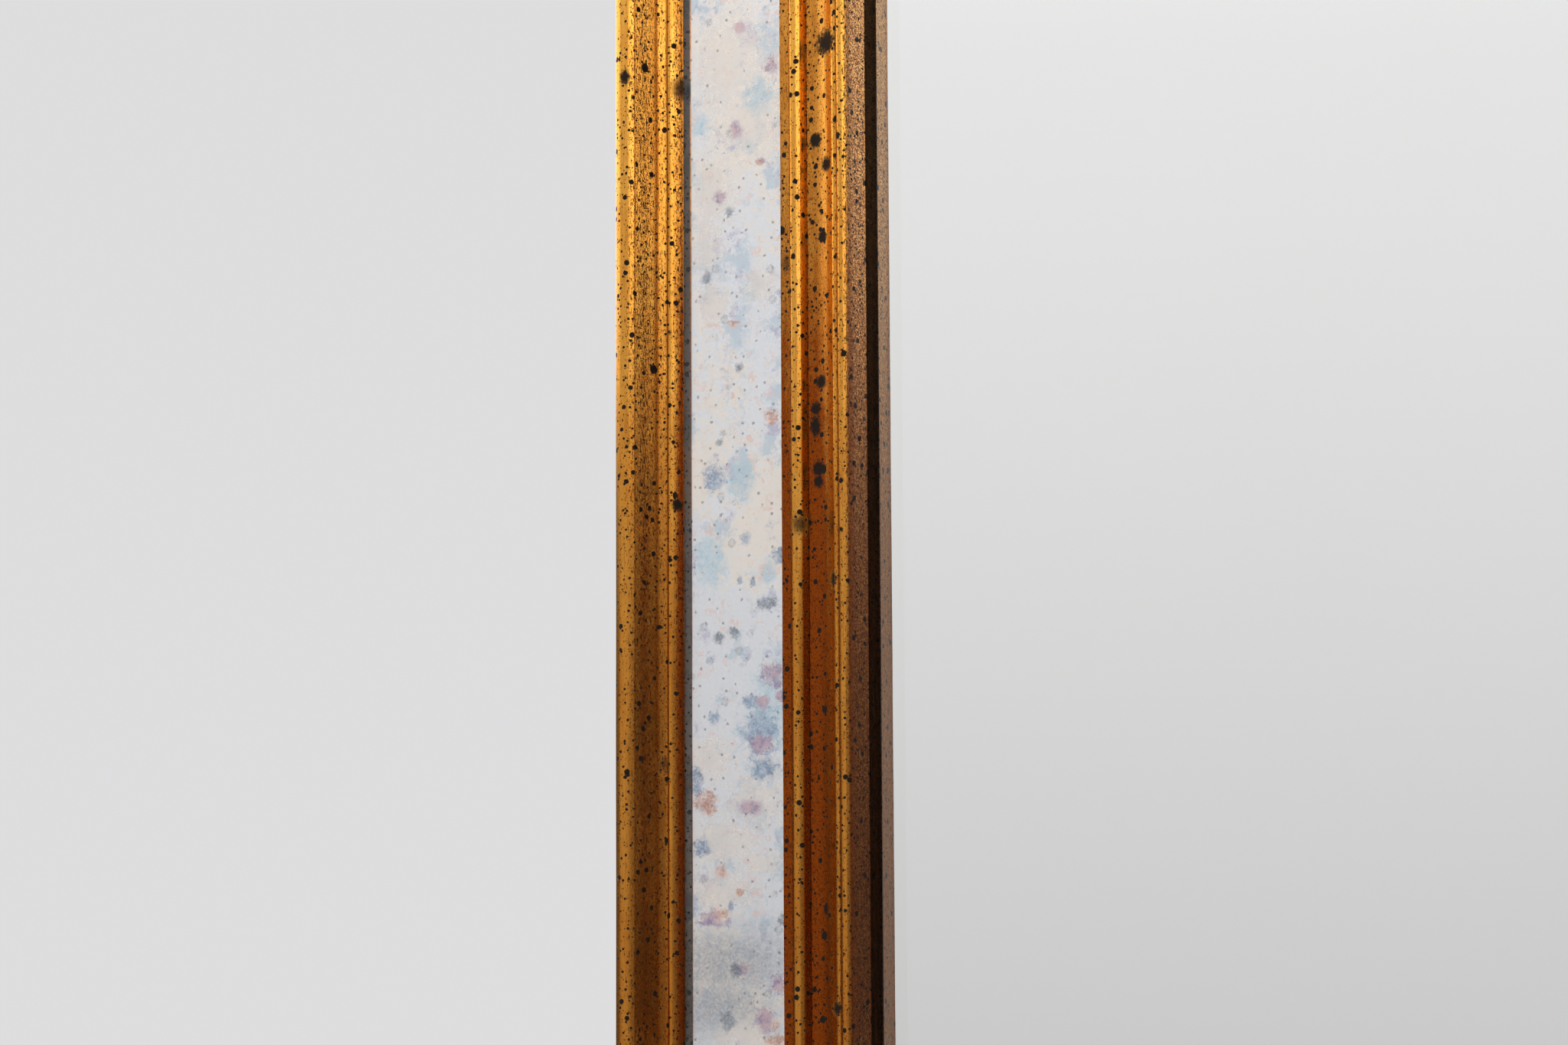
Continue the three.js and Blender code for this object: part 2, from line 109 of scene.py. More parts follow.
def new_effect(name, inputs, outputs):
    """A node group. Inputs are {name: (kind, default)} and outputs are {name: kind}."""
    group = bpy.data.node_groups.new(name, "ShaderNodeTree")
    for title, (kind, value) in inputs.items():
        socket = group.interface.new_socket(title, in_out="INPUT", socket_type="NodeSocket" + kind)
        if value is not None:
            socket.default_value = value
    for title, kind in outputs.items():
        group.interface.new_socket(title, in_out="OUTPUT", socket_type="NodeSocket" + kind)
    entry = group.nodes.new("NodeGroupInput")
    result = group.nodes.new("NodeGroupOutput")
    return group, Recipe(group), entry.outputs, result.inputs


def finish_with(shader, recipe, **sockets):
    for socket, value in sockets.items():
        recipe.set(shader.inputs[socket.replace("_", " ")], value)


def bumped(recipe, height, strength, distance):
    inputs = {"Height": height, "Strength": strength, "Distance": distance}
    return recipe.add("Bump", inputs)


# Wood with its grain along the Z of the vector it is given, in metres.
grain, g, given, result = new_effect(
    "wood_grain",
    {
        "Vector": ("Vector", None),
        "Early": ("Color", (0.60, 0.42, 0.24, 1)),
        "Late": ("Color", (0.38, 0.22, 0.10, 1)),
        "Ring width": ("Float", 4.0),
    },
    {"Color": "Color", "Roughness": "Float", "Height": "Float"},
)
sway = g.noise(g.stretched(given["Vector"], (9, 9, 1.6)), 1.0, 2, 0.5)
x, y = (g.add("SeparateXYZ", (given["Vector"],), output=i) for i in range(2))
off_x = g.maths("MULTIPLY_ADD", sway, 0.035, x)
far = g.maths("MULTIPLY_ADD", y, 1.7, g.maths("MULTIPLY", off_x, 0.8))
turns = g.maths("FRACT", g.maths("DIVIDE", g.maths("MULTIPLY", far, 1000), given["Ring width"]))
late = g.soft_step(turns, 0.45, 0.95)
fibre = g.noise(g.stretched(given["Vector"], (2600, 2600, 45)), 1.0, 3, 0.6)
shade = g.maths("MULTIPLY_ADD", g.maths("SUBTRACT", fibre, 0.5), 0.5, late)
g.set(result["Color"], g.blend(g.add("Clamp", (shade,)), given["Early"], given["Late"]))
g.set(result["Roughness"], g.maths("MULTIPLY_ADD", fibre, 0.18, 0.52))
g.set(result["Height"], g.maths("MULTIPLY_ADD", late, 0.4, fibre))


def wood(name, early, late, ring_width, grain_along):
    """Wood whose grain runs along the given axis of the object."""
    material, recipe, shader = new_material(name)
    place = recipe.add("TexCoord", output=3)
    if grain_along == "X":
        x, y, z = (recipe.add("SeparateXYZ", (place,), output=i) for i in range(3))
        place = recipe.add("CombineXYZ", (z, y, x))
    made = recipe.effect(grain, Vector=place, Early=early, Late=late, Ring_width=ring_width)
    normal = bumped(recipe, made["Height"], 0.35, 0.0003)
    finish_with(shader, recipe, Base_Color=made["Color"], Roughness=made["Roughness"], Normal=normal)
    return material


def dress(name, material):
    """Puts the material on a CAD node that stays as it is."""
    data = nodes[name].data
    data.materials.clear()
    data.materials.append(material)


PINE_EARLY, PINE_LATE = (0.62, 0.43, 0.23), (0.40, 0.22, 0.09)
pine_upright = wood("pine_upright", PINE_EARLY, PINE_LATE, 3.6, "Z")
pine_across = wood("pine_across", PINE_EARLY, PINE_LATE, 4.1, "X")
for side in ("left", "right"):
    dress(f"core_stile_{side}", pine_upright)
for side in ("top", "bottom"):
    dress(f"core_rail_{side}", pine_across)


# ---------------------------------------------------------------- corner splines
# Loose splines of beech plywood are glued into grooves across the mitres and hold the corners. They
# are buried in the core.

beech = wood("beech_ply", (0.66, 0.47, 0.30), (0.50, 0.32, 0.18), 1.4, "Z")
for corner in ("top_left", "bottom_left", "bottom_right", "top_right"):
    dress(f"corner_spline_{corner}", beech)


# ---------------------------------------------------------------- gilded mouldings, outer
# The outer moulding is gesso run on wood, gilded over red bole, toned with umber glaze and flicked with dark
# size; the toning is laid heavier on the faces turned from the light, as painted shade. Its high roll hides
# the core's edge, and its low bead laps the antiqued glass.

# Sizes in millimetres. The core's front stands SEAT off the wall, and the heights of outlines count from
# it. The rest are measured in from the outer edge, but for the height of the glass under the lips.
WIDTH, HEIGHT = 711, 1524
TOP = 380
BOTTOM = TOP - HEIGHT
SEAT = 26.1
OUTER_FACE = 16
INNER_LIP = 50
BORDER = 76
GLASS_LINE = 3.05

# Each side of the frame: the corner it starts from, the way into the mirror, the way along, its length.
SIDES = {
    "left": ((-WIDTH / 2, TOP), (1, 0), (0, -1), HEIGHT),
    "bottom": ((-WIDTH / 2, BOTTOM), (0, 1), (1, 0), WIDTH),
    "right": ((WIDTH / 2, BOTTOM), (-1, 0), (0, 1), HEIGHT),
    "top": ((WIDTH / 2, TOP), (0, -1), (-1, 0), WIDTH),
}
# Half of the gap that is left at each mitre.
HALF_JOINT = 0.08
# The third number of a run sets the four sides apart in the patterns. The left side has one such step.
SIDE_STEP = 53.0
# The ripple in a moulding dies away near its mitres, and stays above the edges that meet the glass.
CALM_END, RIPPLE_FROM = 30, 3.4


def arc(centre, radius, start, end, count):
    """Points on a circle. Angle 0 is up, and it grows towards +x."""
    turns = [math.radians(start + (end - start) * i / count) for i in range(count + 1)]
    return [(centre[0] + radius * math.sin(a), centre[1] + radius * math.cos(a)) for a in turns]


def bend(start, turn, end, count):
    """Points on a quadratic curve from start to end, drawn towards turn."""
    points = []
    for i in range(count + 1):
        t = i / count
        a, b, c = (1 - t) ** 2, 2 * t * (1 - t), t**2
        points.append(tuple(a * p + b * q + c * r for p, q, r in zip(start, turn, end)))
    return points


def line(start, end, count):
    return [
        tuple(p + (q - p) * i / count for p, q in zip(start, end)) for i in range(count + 1)
    ]


def joined(*runs):
    """One outline from runs of points, without the points that repeat."""
    points = []
    for run in runs:
        for point in run:
            if not points or math.dist(points[-1], point) > 0.01:
                points.append(point)
    return points


def between(value, keys):
    """Reads a table of (place, values...) rows, with straight lines between the rows."""
    if value <= keys[0][0]:
        return keys[0][1:]
    for low, high in zip(keys, keys[1:]):
        if value <= high[0]:
            share = (value - low[0]) / (high[0] - low[0])
            return tuple(p + (q - p) * share for p, q in zip(low[1:], high[1:]))
    return keys[-1][1:]


def ripple(along, seed):
    """The hand of the maker: a slow wander in the moulding, as a share of its wander."""
    waves = ((97, 0.5), (61, 0.3), (37, 0.2), (23, 0.12))
    return sum(
        size * math.sin(math.tau * along / run + seed * (2.1 + i)) for i, (run, size) in enumerate(waves)
    )


def moulding_run(name, side, outline, marks, step=7.0, wander=0.06):
    """Sweeps an outline along one side of the frame, cut to the mitre at both ends. The outline goes round
    from the outer edge; marks give the finish at each point from its place on it."""
    corner, inward, ahead, length = SIDES[side]
    seed = 1 + list(SIDES).index(side)
    stations = round(length / step)
    around = [0.0]
    for p, q in zip(outline, outline[1:]):
        around.append(around[-1] + math.dist(p, q))
    points, runs, looks = [], [], []
    for k in range(stations + 1):
        share = k / stations
        calm = min(1.0, share * length / CALM_END, (1 - share) * length / CALM_END)
        for (u, h), s in zip(outline, around):
            along = u + HALF_JOINT + share * (length - 2 * (u + HALF_JOINT))
            loose = calm * wander if h > RIPPLE_FROM else 0.0
            wide = u + loose * ripple(along, seed) * 0.6
            high = h + loose * ripple(along + 40 + 3 * u, seed + 2.7)
            x = corner[0] + wide * inward[0] + along * ahead[0]
            z = corner[1] + wide * inward[1] + along * ahead[1]
            points.append((x * MM, -(SEAT + high) * MM, z * MM))
            runs.append((s, along, SIDE_STEP * seed))
            looks.append(between(s, marks))
    n = len(outline)
    faces = [
        (k * n + i, k * n + (i + 1) % n, (k + 1) * n + (i + 1) % n, (k + 1) * n + i)
        for k in range(stations)
        for i in range(n)
    ]
    faces += [tuple(reversed(range(n))), tuple(range(stations * n, (stations + 1) * n))]
    return mesh_piece(name, points, faces, {"run": ("FLOAT_VECTOR", runs), "look": ("FLOAT_COLOR", looks)})


def mesh_piece(name, points, faces, attributes=None, sharp=35):
    """One mesh object with its faces turned outwards and its sharp edges kept."""
    mesh = bpy.data.meshes.new(name)
    mesh.from_pydata(points, [], faces)
    for title, (kind, rows) in (attributes or {}).items():
        layer = mesh.attributes.new(title, kind, "POINT")
        flat = [value for row in rows for value in row]
        layer.data.foreach_set("color" if kind == "FLOAT_COLOR" else "vector", flat)
    mesh.validate()
    volume = 0.0
    for face in mesh.polygons:
        volume += face.center.dot(face.normal) * face.area
    if volume < 0:
        mesh.flip_normals()
    mesh.polygons.foreach_set("use_smooth", [True] * len(mesh.polygons))
    mesh.set_sharp_from_angle(angle=math.radians(sharp))
    piece = bpy.data.objects.new(name, mesh)
    bpy.context.scene.collection.objects.link(piece)
    return piece


ROLL_RADIUS, CREST = 4.2, 18.4
SKIRT, CORE_EDGE, GLASS_STEP = -19.3, 8, 13.4
LIP_ARRIS = OUTER_FACE - 0.05
roll = arc((ROLL_RADIUS, CREST - ROLL_RADIUS), ROLL_RADIUS, -90, 48, 34)
flank_end, cove_turn, cove_end = (9.02, 11.01), (10.25, 6.6), (12.25, 6.2)
bead_start, bead_turn, outer_lip = (12.25, 6.5), (13.9, 7.2), 3.7
outer_outline = joined(
    line((0, SKIRT), (0, CREST - ROLL_RADIUS), 8),
    roll,
    line(roll[-1], flank_end, 10),
    bend(flank_end, cove_turn, cove_end, 14),
    bend(bead_start, bead_turn, (OUTER_FACE, outer_lip), 18),
    line((OUTER_FACE, outer_lip), (OUTER_FACE, GLASS_LINE), 2),
    [(LIP_ARRIS, GLASS_LINE), (GLASS_STEP, GLASS_LINE), (GLASS_STEP, 0), (CORE_EDGE, 0), (CORE_EDGE, SKIRT)],
)


def place_on(outline, point):
    """How far round the outline the nearest of its points to this one lies."""
    best, found, s = 1e9, 0.0, 0.0
    for p, q in zip([outline[0]] + outline, outline):
        s += math.dist(p, q)
        if math.dist(q, point) < best:
            best, found = math.dist(q, point), s
    return found


def marked(outline, *rows):
    return [(place_on(outline, point), *looks) for point, *looks in rows]


# Each row: a place on the outline, then how deep the toning, how rubbed the leaf, how stippled, how bare the
# gesso. The toning is partly umber glaze and partly painted shade: it is deepest down the outer side, on the
# falling flank and on the lip faces by the glass, where shade falls.
outer_marks = marked(
    outer_outline,
    ((0, SKIRT), 0.75, 0.35, 0.0, 0.0),
    ((0, 6), 0.55, 0.35, 0.0, 0.0),
    ((0, 14.3), 0.35, 0.30, 0.0, 0.0),
    (roll[8], 0.22, 0.30, 0.0, 0.0),
    (roll[14], 0.04, 0.32, 0.0, 0.0),
    (roll[24], 0.02, 0.42, 0.0, 0.0),
    (roll[28], 0.06, 0.60, 0.0, 0.0),
    (roll[31], 0.12, 0.70, 0.0, 0.0),
    (roll[34], 0.12, 0.75, 0.0, 0.0),
    ((7.9, 15.0), 0.22, 0.85, 0.0, 0.0),
    ((8.4, 13.2), 0.38, 0.95, 0.0, 0.0),
    (flank_end, 0.28, 0.80, 0.0, 0.0),
    ((10.5, 7.5), 0.18, 0.65, 0.0, 0.0),
    (cove_end, 0.28, 0.60, 0.0, 0.0),
    (bead_start, 0.24, 0.60, 0.0, 0.0),
    ((13.1, 6.6), 0.05, 0.40, 0.0, 0.0),
    ((14.0, 6.15), 0.02, 0.50, 0.0, 0.0),
    ((14.9, 5.3), 0.40, 0.80, 0.0, 0.0),
    ((OUTER_FACE, outer_lip), 1.0, 0.80, 0.0, 0.0),
    ((OUTER_FACE, GLASS_LINE), 0.95, 0.40, 0.0, 0.0),
    ((LIP_ARRIS, GLASS_LINE), 1.0, 0.0, 0.0, 1.0),
    ((GLASS_STEP, GLASS_LINE), 1.0, 0.0, 0.0, 1.0),
)

# A round stain at one place. Its edge is pushed in and out by a pattern that it is given. Places are
# in millimetres.
stain, s, given, result = new_effect(
    "stain",
    {
        "Vector": ("Vector", None),
        "Edge": ("Float", 0.5),
        "Centre": ("Vector", (0, 0, 0)),
        "Width": ("Float", 1.0),
        "Stretch": ("Float", 1.0),
        "Softness": ("Float", 0.4),
        "Ragged": ("Float", 0.5),
    },
    {"Mask": "Float"},
)
offset = s.add("VectorMath", {0: given["Vector"], 1: given["Centre"]}, operation="SUBTRACT")
x, y, z = (s.add("SeparateXYZ", (offset,), output=i) for i in range(3))
flat = s.add("CombineXYZ", (x, s.maths("DIVIDE", y, given["Stretch"]), z))
far = s.add("VectorMath", {0: flat}, output=1, operation="LENGTH")
off = s.maths("MULTIPLY", s.maths("SUBTRACT", given["Edge"], 0.5), given["Ragged"])
share = s.maths("ADD", s.maths("DIVIDE", far, given["Width"]), off)
inner = s.maths("SUBTRACT", 0.5, s.maths("MULTIPLY", given["Softness"], 0.5))
outer = s.maths("ADD", 0.5, s.maths("MULTIPLY", given["Softness"], 0.5))
s.set(result["Mask"], s.soft_step(share, inner, outer, 1, 0))

# Specks flicked from a brush: round drops of many sizes, cut out of the cells of a 3-D pattern.
specks, s, given, result = new_effect(
    "specks",
    {
        "Vector": ("Vector", None),
        "Spacing": ("Float", 3.0),
        "Size": ("Float", 0.3),
        "Softness": ("Float", 0.2),
        "Ragged": ("Float", 0.1),
    },
    {"Mask": "Float"},
)
shake = s.add("TexNoise", {"Vector": given["Vector"], "Scale": 1.3, "Detail": 2.0}, output=1)
shaken = s.add("VectorMath", {0: shake, 1: (0.5, 0.5, 0.5)}, operation="SUBTRACT")
shaken = s.add("VectorMath", {0: shaken, "Scale": given["Ragged"]}, operation="SCALE")
shaken = s.add("VectorMath", {0: given["Vector"], 1: shaken}, operation="ADD")
cells = s.add("VectorMath", {0: shaken, 1: given["Spacing"]}, operation="DIVIDE")
far = s.add("TexVoronoi", {"Vector": cells, "Scale": 1.0, "Randomness": 1.0})
radius = s.maths("DIVIDE", given["Size"], given["Spacing"])
soft = s.maths("MULTIPLY", radius, given["Softness"])
mask = s.soft_step(far, s.maths("SUBTRACT", radius, soft), s.maths("ADD", radius, soft), 1, 0)
s.set(result["Mask"], mask)

# Leaf over bole, rubbed through in fine streaks along the run, with umber glaze left in the hollows. The
# toning that lays the glaze also paints shade: it is set deepest where shade falls on the moulding, so the
# glaze colour there is partly painted shade. A run gives the distance round the outline and along the
# moulding, in millimetres.
gilding, g, given, result = new_effect(
    "gilding",
    {
        "Run": ("Vector", None),
        # Toning: umber glaze in the hollows together with painted shade where less light falls.
        "Toning": ("Float", 0.0),
        "Rubbing": ("Float", 0.3),
        "Stipple": ("Float", 0.0),
        "Stains": ("Float", 0.0),
        "Gesso": ("Float", 0.0),
        "Leaf": ("Color", (0.80, 0.38, 0.055, 1)),
        "Glaze": ("Color", (0.28, 0.054, 0.003, 1)),
        "Umber": ("Color", (0.030, 0.009, 0.003, 1)),
    },
    {"Color": "Color", "Metallic": "Float", "Roughness": "Float", "Lacquer": "Float", "Height": "Float"},
)
run = given["Run"]
warm = g.noise(g.stretched(run, (0.10, 0.018, 1)), 1.0, 2, 0.5)
brushed = g.noise(g.stretched(run, (2.6, 0.05, 1)), 1.0, 3, 0.6)
cloud = g.noise(g.stretched(run, (0.50, 0.14, 1)), 1.0, 3, 0.6)
redder = g.blend(1.0, given["Leaf"], (0.90, 0.78, 0.62), "MULTIPLY")
leaf = g.blend(g.soft_step(warm, 0.35, 0.70), given["Leaf"], redder)
thin = g.blend(1.0, given["Leaf"], (0.60, 0.46, 0.38), "MULTIPLY")
leaf = g.blend(g.soft_step(brushed, 0.45, 0.72, 0, 0.6), leaf, thin)
glaze_and_shade_depth = g.add("Clamp", (g.maths("MULTIPLY_ADD", g.maths("SUBTRACT", cloud, 0.5), 0.8, given["Toning"]),))
glazed_and_shaded = g.blend(glaze_and_shade_depth, leaf, given["Glaze"])

# Rubbing bares short streaks along the run and small flecks, more of them where it was rubbed harder.
streaks = g.noise(g.stretched(run, (2.7, 0.42, 1)), 1.0, 4, 0.62)
flecks = g.noise(g.stretched(run, (2.0, 1.3, 1)), 1.0, 3, 0.65)
worn = g.maths("MULTIPLY_ADD", given["Rubbing"], -0.165, 0.672)
streak = g.soft_step(streaks, worn, g.maths("ADD", worn, 0.05))
fleck = g.soft_step(flecks, g.maths("ADD", worn, 0.02), g.maths("ADD", worn, 0.07))
rubbed = g.maths("MAXIMUM", streak, g.maths("MULTIPLY", fleck, 0.9))
bole = g.soft_step(cloud, 0.45, 0.65, 0, 0.7)
under = g.blend(bole, given["Umber"], (0.115, 0.024, 0.007))
color = g.blend(g.maths("MULTIPLY", rubbed, 0.95), glazed_and_shaded, under)

# Grains of glaze lie over the toned parts. Where it is stippled, bronze powder lies over a dark ground.
grit = g.noise(run, 2.2, 3, 0.7)
grains = g.soft_step(grit, 0.44, 0.60)
bronze = g.blend(1.0, given["Leaf"], (0.72, 0.80, 1.6), "MULTIPLY")
bronze = g.blend(g.maths("MULTIPLY", glaze_and_shade_depth, 0.75), bronze, (0.22, 0.046, 0.007))
shaded = g.maths("MULTIPLY", g.soft_step(grit, 0.50, 0.62), g.maths("MULTIPLY", glaze_and_shade_depth, 0.75))
color = g.blend(shaded, color, (0.075, 0.018, 0.005))
color = g.blend(given["Stipple"], color, g.blend(grains, (0.09, 0.017, 0.004), bronze))
color = g.blend(given["Gesso"], color, (0.62, 0.52, 0.42))

# Flicked specks of every size, from dust to large drops, and a few that bled into a halo.
dust = g.effect(specks, Vector=run, Spacing=1.1, Size=0.22, Softness=0.3, Ragged=0.3)["Mask"]
fine = g.effect(specks, Vector=run, Spacing=1.95, Size=0.43, Softness=0.2, Ragged=0.4)["Mask"]
drops = g.effect(specks, Vector=run, Spacing=4.7, Size=0.84, Softness=0.14, Ragged=0.4)["Mask"]
large = g.effect(specks, Vector=run, Spacing=21.0, Size=1.45, Softness=0.14, Ragged=0.6)["Mask"]
halo = g.effect(specks, Vector=run, Spacing=34.0, Size=2.8, Softness=0.75, Ragged=1.8)["Mask"]
color = g.blend(g.maths("MULTIPLY", dust, 0.85), color, (0.060, 0.012, 0.004))
dark = g.maths("MAXIMUM", g.maths("MAXIMUM", fine, drops), large)
dark = g.maths("MAXIMUM", dark, given["Stains"])
spotted = g.maths("MAXIMUM", dark, g.maths("MULTIPLY", halo, 0.85))
g.set(result["Color"], g.blend(spotted, color, (0.010, 0.007, 0.006)))

bare = g.maths("MAXIMUM", g.maths("MULTIPLY", rubbed, 0.85), spotted)
dull = g.maths("MULTIPLY", g.maths("SUBTRACT", 1.0, grains), g.maths("MULTIPLY", given["Stipple"], 0.15))
metal = g.maths("SUBTRACT", 1.0, g.maths("MAXIMUM", g.maths("MULTIPLY", bare, 0.9), dull))
g.set(result["Metallic"], g.maths("MULTIPLY", metal, g.maths("SUBTRACT", 1.0, given["Gesso"])))
matt = g.maths("MULTIPLY_ADD", glaze_and_shade_depth, 0.08, 0.17)
matt = g.maths("MULTIPLY_ADD", g.maths("SUBTRACT", brushed, 0.5), 0.12, matt)
matt = g.maths("MULTIPLY_ADD", given["Stipple"], 0.05, matt)
matt = g.maths("MULTIPLY_ADD", bare, 0.30, matt)
g.set(result["Roughness"], matt)
clean = g.maths("MULTIPLY", g.maths("SUBTRACT", 1.0, bare), g.maths("MULTIPLY_ADD", glaze_and_shade_depth, -0.10, 0.14))
g.set(result["Lacquer"], g.maths("MULTIPLY_ADD", given["Stipple"], 0.22, clean))
relief = g.maths("MULTIPLY_ADD", brushed, 0.45, g.maths("MULTIPLY", cloud, 0.55))
relief = g.maths("MULTIPLY_ADD", rubbed, -0.35, relief)
relief = g.maths("MULTIPLY_ADD", dark, 0.25, relief)
relief = g.maths("MULTIPLY_ADD", g.maths("MULTIPLY", grit, given["Stipple"]), 0.8, relief)
g.set(result["Height"], relief)


def place_across(outline, inwards):
    """How far round the outline its gilded face is this far in from the edge."""
    s = 0.0
    for p, q in zip(outline, outline[1:]):
        if q[1] > 0 and p[0] <= inwards < q[0]:
            return s + math.dist(p, q) * (inwards - p[0]) / (q[0] - p[0])
        s += math.dist(p, q)
    raise ValueError(inwards)


def aged_gold(name, outline, stains):
    """The gilding, with stains of dark size as (in from the edge, along, width, stretch, softness) rows."""
    material, recipe, shader = new_material(
        name, Coat_Roughness=0.26, Specular_IOR_Level=0.10, Specular_Tint=(1.0, 0.82, 0.60)
    )
    run = recipe.add("Attribute", output=1, attribute_name="run")
    look = recipe.add("Attribute", attribute_name="look")
    glaze_and_shade, rubbing, stipple = (recipe.add("SeparateColor", (look,), output=i) for i in range(3))
    gesso = look.node.outputs["Alpha"]
    edge = recipe.noise(run, 1.1, 3, 0.6)
    spots = None
    for inwards, along, width, stretch, softness in stains:
        centre = (place_across(outline, inwards), along, SIDE_STEP)
        mask = recipe.effect(
            stain, Vector=run, Edge=edge, Centre=centre, Width=width, Stretch=stretch, Softness=softness,
            Ragged=0.9,
        )["Mask"]
        mask = recipe.maths("SUBTRACT", 1.0, recipe.maths("POWER", recipe.maths("SUBTRACT", 1.0, mask), 3.0))
        spots = recipe.maths("MAXIMUM", mask, spots) if spots else mask
    # Painted shade: the leaf is darker and redder and the toning heavier low on the frame, where less light
    # falls, and both fade again near its foot.
    place = recipe.add("TexCoord", output=3)
    height = recipe.add("SeparateXYZ", (place,), output=2)
    fade = recipe.soft_step(height, -0.60, -0.95, 1.0, 0.25)
    low_shade_leaf = recipe.maths("MULTIPLY", recipe.soft_step(height, -0.20, -0.58), fade)
    low_shade_toning = recipe.maths("MULTIPLY", recipe.soft_step(height, -0.27, -0.41), fade)
    low_shade_toning = recipe.maths("MULTIPLY_ADD", low_shade_toning, 1.35, 0.55)
    glaze_and_shade = recipe.maths("MULTIPLY", glaze_and_shade, low_shade_toning)
    made = recipe.effect(
        gilding, Run=run, Toning=glaze_and_shade, Rubbing=rubbing, Stipple=stipple, Stains=spots, Gesso=gesso,
        Leaf=recipe.blend(low_shade_leaf, (0.82, 0.40, 0.062), (0.60, 0.235, 0.030)),
    )
    finish_with(
        shader,
        recipe,
        Base_Color=made["Color"],
        Metallic=made["Metallic"],
        Roughness=made["Roughness"],
        Coat_Weight=made["Lacquer"],
        Normal=bumped(recipe, made["Height"], 0.22, 0.00014),
    )
    return material


OUTER_STAINS = (
    (7.4, 738.4, 2.0, 0.7, 0.2),
    (14.5, 752.0, 1.6, 1.0, 0.15),
    (15.0, 754.8, 2.9, 0.9, 0.6),
    (10.4, 791.0, 1.9, 0.7, 0.15),
    (9.3, 759.5, 1.3, 1.0, 0.15),
    (8.3, 821.0, 1.6, 1.0, 0.15),
    (5.6, 834.0, 1.6, 1.5, 0.2),
    (12.4, 875.5, 1.6, 1.0, 0.15),
    (9.6, 898.0, 1.5, 1.0, 0.15),
    (4.9, 627.6, 2.5, 1.5, 0.7),
)
outer_gold = aged_gold("aged_gold_outer", outer_outline, OUTER_STAINS)
for side in SIDES:
    piece = moulding_run(f"outer_gilt_{side}", side, outer_outline, outer_marks)
    piece.data.materials.append(outer_gold)
    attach(piece, "mirror")
    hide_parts(f"outer_moulding_{side}")


# ---------------------------------------------------------------- gilded mouldings, inner
# The inner moulding laps the other edge of the antiqued glass with a fillet and a bead, then rises in a
# cove to the sight roll. Its leaning sight wall is stippled with bronze powder and stands on the plate.

FILLET_TOP = 4.2


def hump(start, end, rise, count):
    """Points on a round back that stands this high over the straight line from start to end."""
    wide = math.dist(start, end)
    radius = (wide**2 / 4 + rise**2) / (2 * rise)
    half = math.degrees(2 * math.atan(2 * rise / wide))
    lean = math.atan2(end[1] - start[1], end[0] - start[0])
    drop = radius - rise
    centre = (
        (start[0] + end[0]) / 2 + drop * math.sin(lean),
        (start[1] + end[1]) / 2 - drop * math.cos(lean),
    )
    return arc(centre, radius, -half - math.degrees(lean), half - math.degrees(lean), count)


BEAD_CENTRE, BEAD_RADIUS, BEAD_FOOT = (55.9, 4.7), 2.4, (53.5, FILLET_TOP)
QUIRK_TOP, QUIRK = (58.7, 4.15), (58.9, 3.9)
COVE_START, COVE_END = (59.2, FILLET_TOP), (69.0, 7.3)
SIGHT_FILLET, SIGHT_QUIRK = (70.75, 8.62), (71.05, 8.52)
WALL_TOP, SIGHT_FOOT = (74.9, 8.6), -0.25
STRIP_STEP, PLATE_STEP = 52.6, 71.5

bead = arc(BEAD_CENTRE, BEAD_RADIUS, -90, 66, 23)
cove_wide, cove_rise = COVE_END[0] - COVE_START[0], COVE_END[1] - COVE_START[1]
cove_radius = (cove_wide**2 + cove_rise**2) / (2 * cove_rise)
cove_angle = math.degrees(2 * math.atan(cove_rise / cove_wide))
sight_cove = arc((COVE_START[0], FILLET_TOP + cove_radius), cove_radius, 180, 180 - cove_angle, 22)
sight_roll = hump((71.35, 8.7), WALL_TOP, 1.3, 22)
inner_outline = joined(
    line((INNER_LIP, GLASS_LINE), (INNER_LIP, FILLET_TOP), 3),
    line((INNER_LIP, FILLET_TOP), BEAD_FOOT, 5),
    bead,
    [QUIRK_TOP, QUIRK],
    sight_cove,
    [(69.2, 8.0), (69.6, 8.3), SIGHT_FILLET, SIGHT_QUIRK],
    sight_roll,
    line(WALL_TOP, (BORDER, SIGHT_FOOT), 16),
    [(PLATE_STEP, SIGHT_FOOT), (PLATE_STEP, 0), (STRIP_STEP, 0), (STRIP_STEP, GLASS_LINE)],
)
